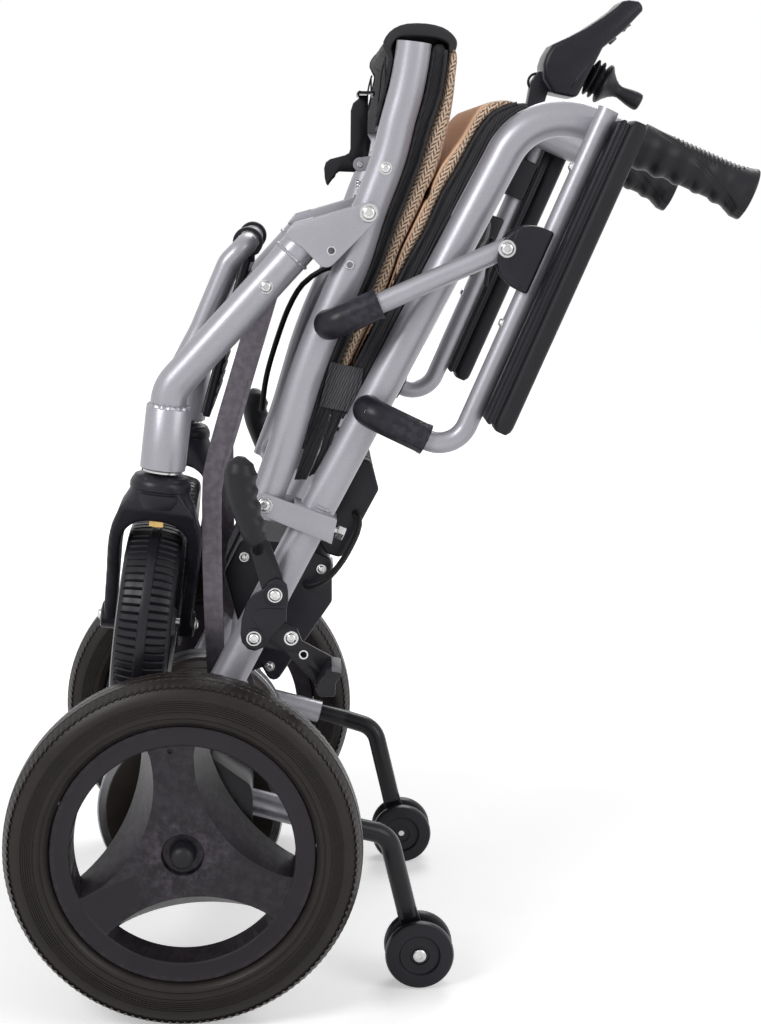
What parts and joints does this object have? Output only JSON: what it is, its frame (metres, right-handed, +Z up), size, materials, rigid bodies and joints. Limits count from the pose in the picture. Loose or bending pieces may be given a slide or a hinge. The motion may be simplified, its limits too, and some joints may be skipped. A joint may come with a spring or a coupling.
{
  "type": "folding power wheelchair",
  "caption": "Folding power wheelchair, folded: tubular frame, mesh seat and back, motor wheels, casters, arm rests, footrest and joystick.",
  "frame": {"origin": "middle of the chair's outline box on the ground, chair folded and standing on its drive and anti-tip wheels", "axes": "+X to the back of the chair, where the push grips point; +Y to its right side, which carries the joystick; +Z up"},
  "size_m": [0.6668, 0.588, 0.9282],
  "materials": {
    "silver_paint": "satin silver-grey metallic paint",
    "motor_case": "dark grey and black coated casting",
    "black_paint": "satin black coat",
    "black_plastic": "satin black moulding",
    "grey_plastic": "grey moulding",
    "grip_rubber": "soft black rubber",
    "cable_rubber": "black sheath",
    "tyre_rubber": "solid black tyre",
    "bar_paint": "purple-grey painted steel bar",
    "zinc": "zinc-plated steel",
    "pad_mesh": "tan spacer mesh with black binding",
    "webbing": "black nylon cloth"
  },
  "bodies": {
    "rear": {"rear_frame_left": "silver_paint", "rear_frame_right": "silver_paint", "cross_tube_upper": "silver_paint", "cross_tube_lower": "silver_paint", "motor_left": "motor_case", "motor_right": "motor_case", "antitip_bar_left": "black_paint", "antitip_bar_right": "black_paint", "push_grip_left": "grip_rubber", "push_grip_right": "grip_rubber", "battery_pack": "black_plastic", "controller_box": "black_plastic", "back_cushion": "pad_mesh", "back_pocket": "webbing", "brake_plate_left": "bar_paint", "brake_plate_right": "bar_paint", "battery_cable": "cable_rubber"},
    "wheel_left": {"tyre_left": "tyre_rubber", "rim_left": "black_plastic"},
    "wheel_right": {"tyre_right": "tyre_rubber", "rim_right": "black_plastic"},
    "antitip_left": {"antitip_wheel_left": "black_plastic"},
    "antitip_right": {"antitip_wheel_right": "black_plastic"},
    "seat": {"seat_tube_left": "silver_paint", "seat_tube_right": "silver_paint", "seat_cross_tube": "silver_paint", "seat_cushion": "pad_mesh", "control_cable": "cable_rubber", "latch_spring": "zinc"},
    "latch": {"latch_hook": "black_paint"},
    "front": {"front_leg_left": "silver_paint", "front_leg_right": "silver_paint", "leg_cross_rod": "zinc"},
    "link": {"link_bar_left": "bar_paint", "link_bar_right": "bar_paint"},
    "footrest": {"footrest_tube": "silver_paint"},
    "footplate": {"footplate": "black_plastic"},
    "swivel_left": {"caster_fork_left": "black_plastic"},
    "swivel_right": {"caster_fork_right": "black_plastic"},
    "caster_left": {"caster_wheel_left": "tyre_rubber"},
    "caster_right": {"caster_wheel_right": "tyre_rubber"},
    "arm_left": {"arm_tube_left": "silver_paint", "arm_elbow_left": "black_plastic", "arm_pad_left": "grip_rubber", "arm_clamp_left": "black_plastic"},
    "arm_right": {"arm_tube_right": "silver_paint", "arm_elbow_right": "black_plastic", "arm_pad_right": "grip_rubber", "arm_clamp_right": "black_plastic", "joystick_pod": "black_plastic"},
    "strut_left": {"strut_left": "silver_paint"},
    "strut_right": {"strut_right": "silver_paint"},
    "lever_left": {"brake_lever_left": "black_plastic"},
    "lever_right": {"brake_lever_right": "black_plastic"},
    "shoe_left": {"brake_shoe_left": "bar_paint"},
    "shoe_right": {"brake_shoe_right": "bar_paint"},
    "gimbal": {"joystick_gimbal": "grey_plastic"},
    "stick": {"joystick_stick": "grip_rubber"},
    "key": {"power_key": "grey_plastic"},
    "rocker": {"speed_rocker": "grey_plastic"}
  },
  "joints": [
    {"name": "wheel_left", "type": "hinge", "parent": "rear", "child": "wheel_left", "pos_m": [-0.17441, -0.26, 0.159], "axis": [0, 1, 0], "continuous": true},
    {"name": "wheel_right", "type": "hinge", "parent": "rear", "child": "wheel_right", "pos_m": [-0.17441, 0.26, 0.159], "axis": [0, 1, 0], "continuous": true},
    {"name": "antitip_left", "type": "hinge", "parent": "rear", "child": "antitip_left", "pos_m": [0.03859, -0.18, 0.032], "axis": [0, 1, 0], "continuous": true},
    {"name": "antitip_right", "type": "hinge", "parent": "rear", "child": "antitip_right", "pos_m": [0.03859, 0.18, 0.032], "axis": [0, 1, 0], "continuous": true},
    {"name": "seat_fold", "type": "hinge", "parent": "rear", "child": "seat", "pos_m": [-0.10141, 0, 0.459], "axis": [0, -1, 0], "range_deg": [0, 96.5]},
    {"name": "front_fold", "type": "hinge", "parent": "seat", "child": "front", "pos_m": [-0.00841, 0, 0.715], "axis": [0, -1, 0], "range_deg": [-96.5, 0]},
    {"name": "link_fold", "type": "hinge", "parent": "rear", "child": "link", "pos_m": [-0.13081, 0, 0.286], "axis": [0, -1, 0], "range_deg": [0, 67.5]},
    {"name": "arm_fold_left", "type": "hinge", "parent": "rear", "child": "arm_left", "pos_m": [-0.00941, -0.226, 0.543], "axis": [0, -1, 0], "range_deg": [0, 100.3]},
    {"name": "arm_fold_right", "type": "hinge", "parent": "rear", "child": "arm_right", "pos_m": [-0.00941, 0.226, 0.543], "axis": [0, -1, 0], "range_deg": [0, 100.3]},
    {"name": "strut_fold_left", "type": "hinge", "parent": "arm_left", "child": "strut_left", "pos_m": [0.10959, -0.226, 0.685], "axis": [0, -1, 0], "range_deg": [-69, 0]},
    {"name": "strut_fold_right", "type": "hinge", "parent": "arm_right", "child": "strut_right", "pos_m": [0.10959, 0.226, 0.685], "axis": [0, -1, 0], "range_deg": [-69, 0]},
    {"name": "latch_pull", "type": "hinge", "parent": "seat", "child": "latch", "pos_m": [-0.01041, 0, 0.757], "axis": [0, 1, 0], "range_deg": [0, 9], "stiffness_Nm_per_rad": 0.2},
    {"name": "footrest_fold", "type": "hinge", "parent": "front", "child": "footrest", "pos_m": [-0.18841, 0, 0.556], "axis": [0, -1, 0], "range_deg": [0, 165]},
    {"name": "footplate_fold", "type": "hinge", "parent": "footrest", "child": "footplate", "pos_m": [-0.11641, 0, 0.6864], "axis": [0, -1, 0], "range_deg": [-242, 0]},
    {"name": "swivel_left", "type": "hinge", "parent": "front", "child": "swivel_left", "pos_m": [-0.18871, -0.193, 0.515], "axis": [0.1271, 0, 0.9919], "range_deg": [0, 105]},
    {"name": "swivel_right", "type": "hinge", "parent": "front", "child": "swivel_right", "pos_m": [-0.18871, 0.193, 0.515], "axis": [0.1271, 0, 0.9919], "range_deg": [-105, 0]},
    {"name": "caster_left", "type": "hinge", "parent": "swivel_left", "child": "caster_left", "pos_m": [-0.21087, -0.145, 0.34201], "axis": [0.9919, 0, -0.1271], "continuous": true},
    {"name": "caster_right", "type": "hinge", "parent": "swivel_right", "child": "caster_right", "pos_m": [-0.21087, 0.145, 0.34201], "axis": [0.9919, 0, -0.1271], "continuous": true},
    {"name": "brake_left", "type": "hinge", "parent": "rear", "child": "lever_left", "pos_m": [-0.09241, -0.2245, 0.381], "axis": [0, -1, 0], "range_deg": [0, 50]},
    {"name": "brake_right", "type": "hinge", "parent": "rear", "child": "lever_right", "pos_m": [-0.09241, 0.2245, 0.381], "axis": [0, -1, 0], "range_deg": [0, 50]},
    {"name": "shoe_left", "type": "hinge", "parent": "rear", "child": "shoe_left", "pos_m": [-0.11141, -0.2245, 0.342], "axis": [0, -1, 0], "range_deg": [-17.1, 0]},
    {"name": "shoe_right", "type": "hinge", "parent": "rear", "child": "shoe_right", "pos_m": [-0.11141, 0.2245, 0.342], "axis": [0, -1, 0], "range_deg": [-17.1, 0]},
    {"name": "joystick_pitch", "type": "hinge", "parent": "arm_right", "child": "gimbal", "pos_m": [0.23409, 0.226, 0.8542], "axis": [0, -1, 0], "range_deg": [-12, 12], "stiffness_Nm_per_rad": 0.05},
    {"name": "joystick_roll", "type": "hinge", "parent": "gimbal", "child": "stick", "pos_m": [0.23409, 0.226, 0.8542], "axis": [0.4586, 0, 0.8886], "range_deg": [-12, 12], "stiffness_Nm_per_rad": 0.05},
    {"name": "power_press", "type": "slide", "parent": "arm_right", "child": "key", "axis": [-0.6823, 0, 0.7311], "range_m": [0, 0.0015], "stiffness_N_per_m": 400},
    {"name": "speed_tilt", "type": "hinge", "parent": "arm_right", "child": "rocker", "pos_m": [0.27668, 0.226, 0.90405], "axis": [0, -1, 0], "range_deg": [-8, 8], "stiffness_Nm_per_rad": 0.02}
  ],
  "couplings": [
    {"joint": "front_fold", "follows": "seat_fold", "ratio": -1},
    {"joint": "link_fold", "follows": "seat_fold", "ratio": 0.69762},
    {"joint": "arm_fold_left", "follows": "seat_fold", "ratio": 1.0387},
    {"joint": "arm_fold_right", "follows": "seat_fold", "ratio": 1.0387},
    {"joint": "strut_fold_left", "follows": "seat_fold", "ratio": -0.7143},
    {"joint": "strut_fold_right", "follows": "seat_fold", "ratio": -0.7143},
    {"joint": "footplate_fold", "follows": "footrest_fold", "ratio": -1.4667},
    {"joint": "shoe_left", "follows": "brake_left", "ratio": -0.34},
    {"joint": "shoe_right", "follows": "brake_right", "ratio": -0.34}
  ]
}
